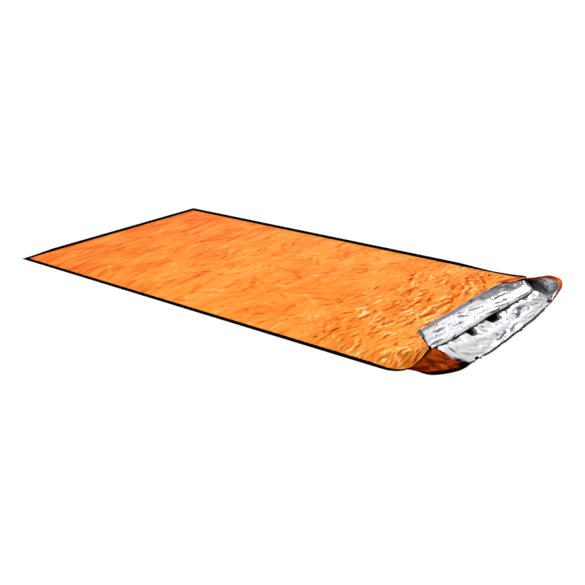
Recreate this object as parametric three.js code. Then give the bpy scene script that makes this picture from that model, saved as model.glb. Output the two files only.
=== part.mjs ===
// A flat rescue bag of two film sheets, bound with tape down both sides and across the foot.
// The foot is at x = 0 while it is built, the mouth opens towards +X, and the near side is -Y.
import * as THREE from "three";

// Driving sizes, in millimetres.
const bagWidth = 1000;
const sheetThickness = 1;
const tapeThickness = 1;
const tapeWidth = 17;
const pieceGap = 0.3;

// Through the tape: outer leg, bottom sheet, top sheet, outer leg, each pieceGap apart.
const slotHalf = sheetThickness + 1.5 * pieceGap;
const tapeHalf = slotHalf + tapeThickness;
const sheetOffset = (sheetThickness + pieceGap) / 2;
const edgeInset = tapeThickness + pieceGap;
const tapeLip = tapeWidth + pieceGap;
const finDepth = tapeWidth + 3.5;
const floorLevel = sheetThickness / 2;
const seamDepths = [edgeInset, tapeLip, finDepth];
const mitreGap = pieceGap / Math.SQRT2;

// How the sheets leave the tape: the bottom one drops to the floor, the top one stays above it.
const floorRunOut = 40;
const tapeRunOff = 8;
const footDrop = tapeHalf - sheetOffset - floorLevel;
const footDropEnd = 60;
const flatAtFoot = 110;
const flatAtSeams = 0.07;

// The top sheet's mouth, rolled back as a cuff.
const rollSteps = 4;
const cuffSteps = 5;
const rollEndShare = 0.12;
const creaseBowStart = 0.86;

// The bottom sheet's mouth edge, bowed out in the middle.
const mouthBow = 12;
const mouthBowStart = 0.9;

// Each seam, from the foot to where it ends at the mouth. inset is measured in from the bag's
// side, rise up from lying flat, and lean turns the tape from lying outwards (0) to standing (90).
const nearSeamRows = [
  { x: 0, inset: 0, rise: 0, lean: 0 },
  { x: 1600, inset: 0, rise: 0, lean: 0 },
  { x: 1660, inset: 0, rise: 0, lean: 0 },
  { x: 1700, inset: 1, rise: 0, lean: 0 },
  { x: 1728, inset: 8, rise: 1.2, lean: 2 },
  { x: 1750, inset: 21, rise: 5, lean: 12 },
  { x: 1765, inset: 37, rise: 13, lean: 32 },
  { x: 1775, inset: 54, rise: 26, lean: 54 },
  { x: 1781, inset: 72, rise: 38, lean: 68 },
  { x: 1784, inset: 88, rise: 49, lean: 80 },
  { x: 1787, inset: 103, rise: 57, lean: 86 },
];
const farSeamRows = [
  { x: 0, inset: 0, rise: 0, lean: 0 },
  { x: 1530, inset: 0, rise: 0, lean: 0 },
  { x: 1590, inset: 1, rise: 0.4, lean: 0 },
  { x: 1640, inset: 7, rise: 4, lean: 9 },
  { x: 1690, inset: 24, rise: 13, lean: 30 },
  { x: 1722, inset: 45, rise: 23, lean: 50 },
  { x: 1745, inset: 72, rise: 33, lean: 70 },
  { x: 1760, inset: 104, rise: 41, lean: 88 },
  { x: 1769, inset: 136, rise: 47, lean: 100 },
];

// The curled lips at the two mouth corners. fold is where the bottom sheet leaves the floor,
// ahead of and further in than the seam at that row. The wall above it bulges out from the tape
// and up by the crown sizes. before is the seam left between the row and the mouth.
const nearLipRows = [
  { before: 240, foldAhead: 0, foldIn: 45, crownOut: 0, crownUp: 0 },
  { before: 115, foldAhead: 4, foldIn: 44, crownOut: 0, crownUp: 0 },
  { before: 92, foldAhead: 20, foldIn: 18, crownOut: 0, crownUp: 0 },
  { before: 72, foldAhead: 50, foldIn: -13, crownOut: 8, crownUp: 0 },
  { before: 54, foldAhead: 74, foldIn: -13, crownOut: 24, crownUp: 4 },
  { before: 36, foldAhead: 91, foldIn: -6, crownOut: 38, crownUp: 12 },
  { before: 18, foldAhead: 100, foldIn: 14, crownOut: 50, crownUp: 24 },
  { before: 0, foldAhead: 101, foldIn: 46, crownOut: 58, crownUp: 36 },
];
const farLipRows = [
  { before: 300, foldAhead: 0, foldIn: 45, crownOut: 0, crownUp: 0 },
  { before: 190, foldAhead: 4, foldIn: 45, crownOut: 0, crownUp: 0 },
  { before: 150, foldAhead: 18, foldIn: 30, crownOut: 0, crownUp: 0 },
  { before: 110, foldAhead: 48, foldIn: -2, crownOut: 12, crownUp: 4 },
  { before: 75, foldAhead: 80, foldIn: -20, crownOut: 30, crownUp: 16 },
  { before: 38, foldAhead: 116, foldIn: -26, crownOut: 76, crownUp: 52 },
  { before: 0, foldAhead: 129, foldIn: 14, crownOut: 150, crownUp: 104 },
];

// Height of the top sheet's middle surface, at five places across, down the bag's length.
const topHeightRows = [
  { along: 0, near: 3.1, nearMid: 3.1, middle: 3.1, farMid: 3.1, far: 3.1 },
  { along: 18, near: 3.1, nearMid: 3.1, middle: 3.1, farMid: 3.1, far: 3.1 },
  { along: 90, near: 3.8, nearMid: 4.0, middle: 4.0, farMid: 4.0, far: 3.8 },
  { along: 400, near: 3.8, nearMid: 4.3, middle: 4.4, farMid: 4.2, far: 3.8 },
  { along: 800, near: 3.8, nearMid: 4.4, middle: 4.3, farMid: 4.4, far: 3.8 },
  { along: 1180, near: 3.9, nearMid: 4.4, middle: 4.5, farMid: 4.4, far: 3.9 },
  { along: 1300, near: 5, nearMid: 7, middle: 8, farMid: 7, far: 5 },
  { along: 1420, near: 9, nearMid: 12, middle: 13, farMid: 11, far: 9 },
  { along: 1560, near: 14, nearMid: 17, middle: 17, farMid: 15, far: 12 },
  { along: 1660, near: 26, nearMid: 23, middle: 18, farMid: 17, far: 18 },
  { along: 1740, near: 38, nearMid: 26, middle: 16, farMid: 17, far: 24 },
  { along: 1775, near: 40, nearMid: 26, middle: 14, farMid: 18, far: 27 },
];
const heightColumns = [
  { name: "near", across: 0.08 },
  { name: "nearMid", across: 0.26 },
  { name: "middle", across: 0.52 },
  { name: "farMid", across: 0.78 },
  { name: "far", across: 0.93 },
];

// Broad folds pressed into the top sheet. heading turns from +X towards +Y; a trough is negative.
const broadFolds = [
  { x: 210, y: -120, heading: 90, length: 300, width: 34, height: 0.7 },
  { x: 330, y: 140, heading: 92, length: 260, width: 30, height: -0.7 },
  { x: 520, y: -60, heading: 70, length: 260, width: 40, height: 0.6 },
  { x: 760, y: 120, heading: 37, length: 280, width: 45, height: -0.8 },
  { x: 900, y: -200, heading: 37, length: 260, width: 45, height: 0.6 },
  { x: 1120, y: 60, heading: 40, length: 200, width: 42, height: 0.6 },
  { x: 1290, y: -240, heading: 60, length: 180, width: 36, height: -1.2 },
  { x: 1400, y: -90, heading: 88, length: 220, width: 34, height: 3.5 },
  { x: 1480, y: -250, heading: 96, length: 160, width: 28, height: 5 },
  { x: 1560, y: 40, heading: 92, length: 240, width: 32, height: -4 },
  { x: 1590, y: -380, heading: 60, length: 90, width: 34, height: 9 },
  { x: 1655, y: -120, heading: 97, length: 200, width: 26, height: 5 },
  { x: 1690, y: -425, heading: 40, length: 62, width: 30, height: 11 },
  { x: 1738, y: -392, heading: 55, length: 60, width: 22, height: -9 },
  { x: 1600, y: 330, heading: 110, length: 150, width: 34, height: 4 },
];

// Low folds of the bottom sheet across the mouth and the way into the bag.
const floorFolds = [
  { x: 1425, y: 20, heading: 92, length: 230, width: 46, height: 1.5 },
  { x: 1520, y: -90, heading: 85, length: 210, width: 26, height: 1.3 },
  { x: 1610, y: 90, heading: 96, length: 200, width: 24, height: 1.4 },
  { x: 1700, y: -60, heading: 88, length: 220, width: 24, height: 1.2 },
  { x: 1770, y: 110, heading: 80, length: 160, width: 20, height: 1.4 },
  { x: 1835, y: -70, heading: 82, length: 170, width: 20, height: 1.5 },
];

// The cuff: how far the crease bows towards the mouth, the roll's radius, and the hemmed edge.
const cuffRows = [
  { across: 0, bow: 0, radius: 3.2, hemX: 1716, hemY: -324, hemZ: 66 },
  { across: 0.08, bow: 2, radius: 5, hemX: 1707, hemY: -272, hemZ: 60 },
  { across: 0.26, bow: 4, radius: 7, hemX: 1696, hemY: -150, hemZ: 47 },
  { across: 0.5, bow: 6, radius: 9, hemX: 1692, hemY: -20, hemZ: 37 },
  { across: 0.66, bow: 20, radius: 9, hemX: 1692, hemY: 80, hemZ: 34 },
  { across: 0.8, bow: 36, radius: 9, hemX: 1694, hemY: 170, hemZ: 37 },
  { across: 0.93, bow: 50, radius: 8, hemX: 1706, hemY: 240, hemZ: 44 },
  { across: 1, bow: 50, radius: 5, hemX: 1712, hemY: 268, hemZ: 50 },
];
const cuffEnds = {
  near: { x: 1714, y: -341, z: 70 },
  far: { x: 1715, y: 288, z: 54 },
};

const bagOrange = new THREE.MeshStandardMaterial({ color: 0xff8a38, roughness: 0.4, metalness: 0.05 });
const bagSilver = new THREE.MeshStandardMaterial({ color: 0xc9ccd0, roughness: 0.3, metalness: 0.9 });
const tapeBlack = new THREE.MeshStandardMaterial({ color: 0x111214, roughness: 0.7, metalness: 0 });

// A smooth curve through one column of a table that never swings past its rows.
function readColumn(rows, key, column, at) {
  const last = rows.length - 1;
  const ascending = rows[last][key] > rows[0][key];
  const position = (index) => (ascending ? rows[index] : rows[last - index]);
  const clamped = THREE.MathUtils.clamp(at, position(0)[key], position(last)[key]);
  let index = 0;
  while (index < last - 1 && clamped > position(index + 1)[key]) index += 1;
  const slope = (k) =>
    (position(k + 1)[column] - position(k)[column]) / (position(k + 1)[key] - position(k)[key]);
  const tangent = (k) => {
    if (k === 0 || k === last) return slope(Math.min(k, last - 1));
    const before = slope(k - 1);
    const after = slope(k);
    return before * after <= 0 ? 0 : (2 * before * after) / (before + after);
  };
  const span = position(index + 1)[key] - position(index)[key];
  const t = (clamped - position(index)[key]) / span;
  const startWeight = 2 * t ** 3 - 3 * t ** 2 + 1;
  const endWeight = 1 - startWeight;
  return (
    startWeight * position(index)[column] +
    endWeight * position(index + 1)[column] +
    span * (t ** 3 - 2 * t ** 2 + t) * tangent(index) +
    span * (t ** 3 - t ** 2) * tangent(index + 1)
  );
}

// Adds to each seam row its length from the foot.
function measureSeam(rows) {
  let along = 0;
  return rows.map((row, index) => {
    if (index > 0) {
      const from = rows[index - 1];
      along += Math.hypot(row.x - from.x, row.inset - from.inset, row.rise - from.rise);
    }
    return { ...row, along };
  });
}

const seams = {
  near: { side: -1, rows: measureSeam(nearSeamRows), lips: nearLipRows },
  far: { side: 1, rows: measureSeam(farSeamRows), lips: farLipRows },
};
for (const seam of Object.values(seams)) seam.length = seam.rows.at(-1).along;

const tangentReach = 4;
function seamPoint(seam, along) {
  const read = (column) => readColumn(seam.rows, "along", column, along);
  return new THREE.Vector3(read("x"), seam.side * (bagWidth / 2 - read("inset")), tapeHalf + read("rise"));
}

// The seam at a row: its outer edge, the way the tape lies out, and the way to the top sheet.
function seamFrame(seam, row) {
  const along = row * seam.length;
  const point = seamPoint(seam, along);
  const tangent = seamPoint(seam, along + tangentReach)
    .sub(seamPoint(seam, along - tangentReach)).normalize();
  const upright = new THREE.Vector3(0, 0, 1).addScaledVector(tangent, -tangent.z).normalize();
  const outward = new THREE.Vector3().crossVectors(tangent, upright).multiplyScalar(-seam.side);
  const lean = THREE.MathUtils.degToRad(readColumn(seam.rows, "along", "lean", along));
  const out = outward.clone().multiplyScalar(Math.cos(lean)).addScaledVector(upright, Math.sin(lean));
  const over = outward.clone().multiplyScalar(-Math.sin(lean)).addScaledVector(upright, Math.cos(lean));
  return { point, tangent, out, over };
}

function inSeam(frame, depth, offset) {
  return frame.point.clone().addScaledVector(frame.out, -depth).addScaledVector(frame.over, offset);
}

// Rows run from the foot (0) to the end of the seams (1), close together where they curve.
const footDepths = [edgeInset, tapeLip, finDepth, 40, 75];
const plainRows = [170, 290, 420, 560, 700, 840, 980, 1110, 1230, 1340, 1430, 1510, 1570];
const mouthSpacing = 14;
function rowStations() {
  const length = (seams.near.length + seams.far.length) / 2;
  const stations = [...footDepths, ...plainRows];
  const first = plainRows.at(-1);
  const count = Math.round((length - first) / mouthSpacing);
  for (let step = 1; step <= count; step += 1) {
    stations.push(first + ((length - first) * step) / count);
  }
  return stations.map((along) => along / length);
}

function smoothStep(from, to, value) {
  return THREE.MathUtils.smoothstep(value, from, to);
}

// The bottom sheet beside one seam: in the tape, over the crown of the lip, down to the floor.
const lipSteps = [0.12, 0.26, 0.4, 0.56, 0.74, 1];
function bottomEdge(seam, row) {
  const frame = seamFrame(seam, row);
  const before = (1 - row) * seam.length;
  const read = (column) => readColumn(seam.lips, "before", column, before);
  const taped = seamDepths.map((depth) => inSeam(frame, depth, -sheetOffset));
  const base = taped.at(-1);
  const level = floorLevel + footDrop * (1 - smoothStep(finDepth, footDropEnd, frame.point.x));
  const inward = -seam.side;
  const fold = new THREE.Vector3(
    frame.point.x + read("foldAhead"), frame.point.y + inward * read("foldIn"), level);
  const crown = inSeam(frame, finDepth + tapeRunOff, -sheetOffset - read("crownOut"));
  crown.z = Math.max(crown.z + read("crownUp"), level);
  const floor = fold.clone();
  floor.y += inward * floorRunOut;
  const lip = new THREE.CubicBezierCurve3(base, crown, fold, floor);
  const wall = lipSteps.map((t) => lip.getPoint(t));
  return [...taped, ...wall];
}

const floorColumns = [0.08, 0.22, 0.36, 0.5, 0.64, 0.78, 0.92];
function bottomRow(row) {
  const near = bottomEdge(seams.near, row);
  const far = bottomEdge(seams.far, row);
  const bow = mouthBow * smoothStep(mouthBowStart, 1, row);
  const floor = floorColumns.map((across) => {
    const point = near.at(-1).clone().lerp(far.at(-1), across);
    point.x += bow * 4 * across * (1 - across);
    point.z += foldHeight(floorFolds, point.x, point.y);
    return point;
  });
  return [...near, ...floor, ...far.reverse()];
}

function foldHeight(folds, x, y) {
  let height = 0;
  for (const fold of folds) {
    const heading = THREE.MathUtils.degToRad(fold.heading);
    const along = (x - fold.x) * Math.cos(heading) + (y - fold.y) * Math.sin(heading);
    const beside = (y - fold.y) * Math.cos(heading) - (x - fold.x) * Math.sin(heading);
    height += fold.height * Math.exp(-((along / fold.length) ** 2) - (beside / fold.width) ** 2);
  }
  return height;
}

function topHeight(x, across, nearLevel, farLevel) {
  const knots = heightColumns.map(({ name, across: place }) => (
    { place, height: readColumn(topHeightRows, "along", name, x) }
  ));
  const rows = [{ place: 0, height: nearLevel }, ...knots, { place: 1, height: farLevel }];
  return readColumn(rows, "place", "height", across);
}

function readCuff(column, across) {
  return readColumn(cuffRows, "across", column, across);
}

const topColumns = [0, 0.02, 0.045, 0.08, 0.13, 0.19, 0.26, 0.34, 0.43, 0.52, 0.61, 0.7, 0.78,
  0.85, 0.9, 0.94, 0.97, 0.985, 1];

function topRow(row) {
  const nearFrame = seamFrame(seams.near, row);
  const farFrame = seamFrame(seams.far, row);
  const near = seamDepths.map((depth) => inSeam(nearFrame, depth, sheetOffset));
  const far = seamDepths.map((depth) => inSeam(farFrame, depth, sheetOffset));
  const nearBase = near.pop();
  const farBase = far.pop();
  const bowShare = smoothStep(creaseBowStart, 1, row) ** 2;
  const middle = topColumns.map((across) => {
    const point = nearBase.clone().lerp(farBase, across);
    const clearOfSeams = smoothStep(0, flatAtSeams, Math.min(across, 1 - across));
    point.x += bowShare * clearOfSeams * (readCuff("bow", across) - readCuff("radius", across));
    point.z = topHeight(point.x, across, nearBase.z, farBase.z);
    const clearOfFoot = smoothStep(finDepth, flatAtFoot, point.x);
    point.z += clearOfSeams * clearOfFoot * foldHeight(broadFolds, point.x, point.y);
    return point;
  });
  return [...near, ...middle, ...far.reverse()];
}

// Which way the top sheet runs into its roll, and which way it rolls over. At the ends both
// follow the tape, and in between the sheet runs to the mouth and rolls upwards.
function rollAxes(across) {
  const nearEnd = seamFrame(seams.near, 1);
  const farEnd = seamFrame(seams.far, 1);
  const nearShare = 1 - smoothStep(0, rollEndShare, across);
  const farShare = smoothStep(1 - rollEndShare, 1, across);
  const blend = (middle, near, far) => middle
    .multiplyScalar(1 - nearShare - farShare)
    .addScaledVector(near, nearShare)
    .addScaledVector(far, farShare)
    .normalize();
  return {
    run: blend(new THREE.Vector3(1, 0, 0), nearEnd.tangent, farEnd.tangent),
    turn: blend(new THREE.Vector3(0, 0, 1), nearEnd.over, farEnd.over),
  };
}

// One row of the cuff, step counting the roll first and then the flat of the cuff.
function cuffRow(lastRow, step) {
  const inTape = seamDepths.length - 1;
  const share = Math.max(0, (step - rollSteps) / cuffSteps);
  const angle = (Math.PI * Math.min(step, rollSteps)) / rollSteps;
  return lastRow.map((start, column) => {
    const index = THREE.MathUtils.clamp(column - inTape, 0, topColumns.length - 1);
    const across = topColumns[index];
    const radius = readCuff("radius", across);
    const { run, turn } = rollAxes(across);
    const rolled = start.clone()
      .addScaledVector(run, radius * Math.sin(angle))
      .addScaledVector(turn, radius * (1 - Math.cos(angle)));
    const hem = new THREE.Vector3(
      readCuff("hemX", across), readCuff("hemY", across), readCuff("hemZ", across));
    const end = across < 0.5 ? cuffEnds.near : cuffEnds.far;
    hem.lerp(new THREE.Vector3(end.x, end.y, end.z), Math.abs(column - inTape - index) / inTape);
    return rolled.lerp(hem, share);
  });
}

// A closed body from a grid of points on its middle surface.
function thicken(rows, thickness) {
  const rowCount = rows.length;
  const columnCount = rows[0].length;
  const at = (row, column) =>
    rows[THREE.MathUtils.clamp(row, 0, rowCount - 1)][THREE.MathUtils.clamp(column, 0, columnCount - 1)];
  const layer = (offset) => rows.flatMap((points, row) => points.map((point, column) => {
    const alongRow = at(row, column + 1).clone().sub(at(row, column - 1));
    const alongBag = at(row + 1, column).clone().sub(at(row - 1, column));
    const normal = alongBag.cross(alongRow).normalize();
    return point.clone().addScaledVector(normal, offset);
  }));
  const points = [...layer(thickness / 2), ...layer(-thickness / 2)];
  const under = rowCount * columnCount;
  const faces = [];
  const quad = (a, b, c, d) => faces.push(a, b, c, a, c, d);
  for (let row = 0; row < rowCount - 1; row += 1) {
    for (let column = 0; column < columnCount - 1; column += 1) {
      const corner = row * columnCount + column;
      const next = corner + columnCount;
      if (column < (columnCount - 1) / 2) {
        quad(next, next + 1, corner + 1, corner);
        quad(under + corner + 1, under + next + 1, under + next, under + corner);
      } else {
        quad(corner, next, next + 1, corner + 1);
        quad(under + corner, under + corner + 1, under + next + 1, under + next);
      }
    }
  }
  for (let row = 0; row < rowCount - 1; row += 1) {
    const near = row * columnCount;
    const far = near + columnCount - 1;
    quad(near, under + near, under + near + columnCount, near + columnCount);
    quad(far + columnCount, under + far + columnCount, under + far, far);
  }
  for (let column = 0; column < columnCount - 1; column += 1) {
    const mouth = (rowCount - 1) * columnCount + column;
    quad(column + 1, under + column + 1, under + column, column);
    quad(mouth, under + mouth, under + mouth + 1, mouth + 1);
  }
  return solidGeometry(points, faces);
}

function solidGeometry(points, faces) {
  const geometry = new THREE.BufferGeometry().setFromPoints(points);
  geometry.setIndex(faces);
  geometry.computeVertexNormals();
  return geometry;
}

// Tape folded over an edge: its section, as depth in from the edge and height through it.
const tapeSection = [
  { depth: 0, height: -tapeHalf },
  { depth: tapeWidth, height: -tapeHalf },
  { depth: tapeWidth, height: -slotHalf },
  { depth: tapeThickness, height: -slotHalf },
  { depth: tapeThickness, height: slotHalf },
  { depth: tapeWidth, height: slotHalf },
  { depth: tapeWidth, height: tapeHalf },
  { depth: 0, height: tapeHalf },
];

// Sections in order along the edge, joined and capped. Each section lists its eight corners.
function sweepTape(sections) {
  const corners = tapeSection.length;
  const faces = [];
  for (let step = 0; step < sections.length - 1; step += 1) {
    for (let corner = 0; corner < corners; corner += 1) {
      const beyond = (corner + 1) % corners;
      const here = step * corners + corner;
      const beside = step * corners + beyond;
      if (tapeSection[corner].depth > tapeSection[beyond].depth) {
        faces.push(here, beside, beside + corners, here, beside + corners, here + corners);
      } else {
        faces.push(here, beside, here + corners, beside, beside + corners, here + corners);
      }
    }
  }
  const outline = tapeSection.map(({ depth, height }) => new THREE.Vector2(depth, height));
  const lastSection = (sections.length - 1) * corners;
  for (const [a, b, c] of THREE.ShapeUtils.triangulateShape(outline, [])) {
    faces.push(a, c, b);
    faces.push(lastSection + a, lastSection + b, lastSection + c);
  }
  return { points: sections.flat(), faces };
}

// Turns every face over, for a body swept the other way round.
function turnedOver(faces) {
  const turned = [];
  for (let face = 0; face < faces.length; face += 3) {
    turned.push(faces[face], faces[face + 2], faces[face + 1]);
  }
  return turned;
}

function sideTape(seam) {
  const sections = [0, ...rowStations()].map((row, index) => {
    const frame = seamFrame(seam, row);
    return tapeSection.map(({ depth, height }) => {
      const corner = inSeam(frame, depth, height);
      if (row * seam.length < finDepth) corner.x = index === 0 ? depth + mitreGap : corner.x;
      return corner;
    });
  }).filter((section, index) => index === 0 || section[0].x > finDepth + pieceGap);
  const { points, faces } = sweepTape(sections);
  return solidGeometry(points, seam.side > 0 ? turnedOver(faces) : faces);
}

function footTape() {
  const sections = [-1, 1].map((side) => tapeSection.map(({ depth, height }) => (
    new THREE.Vector3(depth, side * (bagWidth / 2 - depth - mitreGap), tapeHalf + height)
  )));
  const { points, faces } = sweepTape(sections);
  return solidGeometry(points, turnedOver(faces));
}

function piece(name, geometry, material) {
  const mesh = new THREE.Mesh(geometry, material);
  mesh.name = name;
  return mesh;
}

const stations = rowStations();
const bottomRows = stations.map(bottomRow);
const mainRows = stations.map(topRow);
const cuffRowsBuilt = [];
for (let step = 1; step <= rollSteps + cuffSteps; step += 1) {
  cuffRowsBuilt.push(cuffRow(mainRows.at(-1), step));
}

const bag = new THREE.Group();
bag.add(piece("bottom_sheet", thicken(bottomRows, sheetThickness), bagSilver));
bag.add(piece("top_sheet", thicken([...mainRows, ...cuffRowsBuilt], sheetThickness), bagOrange));
bag.add(piece("side_binding_near", sideTape(seams.near), tapeBlack));
bag.add(piece("side_binding_far", sideTape(seams.far), tapeBlack));
bag.add(piece("foot_binding", footTape(), tapeBlack));

// The finished bag is centred on its own box.
const box = new THREE.Box3().setFromObject(bag);
bag.position.x = -(box.min.x + box.max.x) / 2;

export default bag;
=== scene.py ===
import math
import bpy
import numpy as np
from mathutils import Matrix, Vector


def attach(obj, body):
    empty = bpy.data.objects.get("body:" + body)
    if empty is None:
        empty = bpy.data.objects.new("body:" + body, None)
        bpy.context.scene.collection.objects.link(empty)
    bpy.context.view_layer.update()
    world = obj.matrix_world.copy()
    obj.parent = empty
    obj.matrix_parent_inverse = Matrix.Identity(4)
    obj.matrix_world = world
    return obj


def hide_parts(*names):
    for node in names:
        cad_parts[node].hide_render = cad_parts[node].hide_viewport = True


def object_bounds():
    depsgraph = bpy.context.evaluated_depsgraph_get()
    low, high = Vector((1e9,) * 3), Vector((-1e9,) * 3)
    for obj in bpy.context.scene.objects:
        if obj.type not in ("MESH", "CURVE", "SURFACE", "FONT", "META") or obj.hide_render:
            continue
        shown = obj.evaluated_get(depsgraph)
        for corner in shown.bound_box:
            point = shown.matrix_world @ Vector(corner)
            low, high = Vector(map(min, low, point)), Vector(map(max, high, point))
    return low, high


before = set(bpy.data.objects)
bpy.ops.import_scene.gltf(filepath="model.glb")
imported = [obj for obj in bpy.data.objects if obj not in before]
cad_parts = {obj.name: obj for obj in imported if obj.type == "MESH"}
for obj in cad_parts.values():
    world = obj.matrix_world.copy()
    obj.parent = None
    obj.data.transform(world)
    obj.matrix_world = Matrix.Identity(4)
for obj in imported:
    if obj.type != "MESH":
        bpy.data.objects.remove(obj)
cadLow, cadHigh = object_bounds()
mm = 0.001
footX = cadLow.x
print("frame loaded:", sorted(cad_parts))

# Through the binding: outer leg, bottom film, top film, outer leg.
bag = {
    "width": 1000,
    "filmThickness": 0.4,
    "tapeThickness": 0.6,
    "tapeWidth": 19,
    "edgeLean": 18,
    "gap": 0.15,
    "finDepth": 20.5,
    "edgeInset": 0.9,
    "floorRunOut": 40,
    "tapeRunOff": 8,
    "mouthBow": 12,
    "mouthBowStart": 0.9,
    "creaseBowStart": 0.86,
    "rollEndShare": 0.12,
}
slotHalf = bag["filmThickness"] + 1.5 * bag["gap"]
tapeHalf = slotHalf + bag["tapeThickness"]
filmOffset = (bag["filmThickness"] + bag["gap"]) / 2
floorLevel = bag["filmThickness"] / 2

# Each seam from the foot to where it ends at the mouth, then the curled lip of the bottom film
# beside it. inset is in from the side, rise is up from lying flat, and lean stands the tape up.
# tapeShare gathers the tape towards its end, and rim is the lip's free edge.
nearSeam = {
    "side": -1,
    "x": [0, 1600, 1660, 1700, 1728, 1750, 1765, 1775, 1781, 1784, 1787],
    "inset": [0, 0, 0, 1, 8, 21, 37, 54, 72, 88, 103],
    "rise": [0, 0, 0, 0, 1.2, 5, 13, 26, 38, 49, 57],
    "lean": [0, 0, 0, 0, 2, 12, 32, 54, 68, 80, 86],
    "before": [240, 115, 92, 72, 54, 36, 18, 0],
    "foldAhead": [0, 10, 30, 56, 72, 84, 94, 98],
    "foldIn": [45, 24, 3, -20, -10, 6, 26, 60],
    "crownOut": [0, 0, 0, 8, 24, 38, 50, 58],
    "crownUp": [0, 0, 0, 0, 4, 12, 24, 36],
    "tapeShareX": [1640, 1787],
    "tapeShare": [1, 0.4],
    "cuffTapeShare": [0.42, 0.36, 0.9],
    "rim": [[1803, -395, 56], [1820, -389, 50], [1847, -379, 30], [1862, -363, 15], [1878, -335, 1]],
}
farSeam = {
    "side": 1,
    "x": [0, 1530, 1590, 1640, 1690, 1722, 1745, 1760, 1769],
    "inset": [0, 0, 1, 7, 24, 45, 72, 104, 136],
    "rise": [0, 0, 0.4, 4, 13, 23, 33, 41, 47],
    "lean": [0, 0, 0, 9, 30, 50, 70, 88, 100],
    "before": [300, 190, 150, 110, 75, 38, 0],
    "foldAhead": [0, 4, 18, 48, 80, 110, 121],
    "foldIn": [45, 45, 30, 6, -4, -10, 14],
    "crownOut": [0, 0, 0, 8, 18, 36, 70],
    "crownUp": [0, 0, 0, 4, 14, 44, 80],
    "tapeShareX": [1560, 1769],
    "tapeShare": [1, 0.2],
    "cuffTapeShare": [0.2, 0.5, 0.5],
    "rim": [[1775, 375, 47], [1787, 392, 47], [1805, 403, 53], [1845, 406, 64], [1875, 412, 58],
            [1892, 398, 47], [1898, 374, 34], [1891, 338, 12]],
}

# Height of the top film's middle at five places across, down the bag.
crown = {
    "across": [0.08, 0.26, 0.52, 0.78, 0.93],
    "along": [0, 18, 70, 400, 800, 1200, 1420, 1560, 1660, 1740, 1775],
    "near": [1.6, 1.6, 5, 5.5, 6, 6.5, 9, 14, 26, 38, 40],
    "nearMid": [1.6, 1.6, 6, 7, 6.5, 8.5, 12, 17, 23, 26, 26],
    "middle": [1.6, 1.6, 6, 6.5, 7.5, 8.5, 13, 17, 18, 16, 14],
    "farMid": [1.6, 1.6, 6, 6, 7, 7.5, 11, 15, 17, 17, 18],
    "far": [1.6, 1.6, 5, 5.5, 6, 6.5, 9, 12, 18, 24, 27],
}

# The turned-back cuff: how far its crease bows towards the mouth, the roll, the soft fold along it
# as a share of its width, and the hemmed edge.
cuff = {
    "across": [0, 0.08, 0.26, 0.5, 0.66, 0.8, 0.93, 1],
    "bow": [0, 2, 4, 6, 20, 36, 50, 50],
    "radius": [3.2, 4.2, 5.5, 6.5, 6, 5.5, 5, 4.2],
    "foldShare": [0.7, 0.68, 0.66, 0.62, 0.56, 0.5, 0.42, 0.4],
    "foldZ": [65, 54, 42, 30, 24, 22, 27, 40],
    "hemX": [1716, 1707, 1696, 1692, 1692, 1694, 1706, 1712],
    "hemY": [-324, -272, -150, -20, 80, 170, 240, 268],
    "hemZ": [66, 60, 47, 37, 36, 35, 37, 39],
    "nearEnd": [1714, -341, 70],
    "farEnd": [1715, 288, 40],
    "rollRows": 9,
    "flatRows": 25,
    "length": 86,
    "hemWidth": 12,
    "hemFlick": 2.5,
    "flickStart": 0.86,
    "foldEase": 1.25,
    "rollRun": 6,
}


# A smooth curve through the rows of a table that never swings past them.
def readCurve(places, values, at):
    places = np.asarray(places, float)
    values = np.asarray(values, float)
    if places[0] > places[-1]:
        places, values = places[::-1], values[::-1]
    slopes = np.diff(values) / np.diff(places)
    tangents = np.empty(len(places))
    tangents[0], tangents[-1] = slopes[0], slopes[-1]
    before, after = slopes[:-1], slopes[1:]
    same = before * after > 0
    tangents[1:-1] = np.where(same, 2 * before * after / np.where(same, before + after, 1), 0)
    at = np.clip(at, places[0], places[-1])
    index = np.clip(np.searchsorted(places, at) - 1, 0, len(places) - 2)
    span = places[index + 1] - places[index]
    t = (at - places[index]) / span
    start = 2 * t ** 3 - 3 * t ** 2 + 1
    return (start * values[index] + (1 - start) * values[index + 1]
            + span * (t ** 3 - 2 * t ** 2 + t) * tangents[index]
            + span * (t ** 3 - t ** 2) * tangents[index + 1])


def smoothStep(low, high, value):
    t = np.clip((value - low) / (high - low), 0, 1)
    return t * t * (3 - 2 * t)


def unit(vectors):
    return vectors / np.maximum(np.linalg.norm(vectors, axis=-1, keepdims=True), 1e-12)


def measureSeam(seam):
    steps = np.sqrt(sum(np.diff(seam[name]) ** 2 for name in ("x", "inset", "rise")))
    seam["along"] = np.concatenate([[0], np.cumsum(steps)])
    seam["length"] = seam["along"][-1]


measureSeam(nearSeam)
measureSeam(farSeam)
seamLength = (nearSeam["length"] + farSeam["length"]) / 2


def seamPoint(seam, along):
    x = readCurve(seam["along"], seam["x"], along)
    y = seam["side"] * (bag["width"] / 2 - readCurve(seam["along"], seam["inset"], along))
    z = tapeHalf + readCurve(seam["along"], seam["rise"], along)
    return np.stack([x, y, z], axis=-1)


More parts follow.
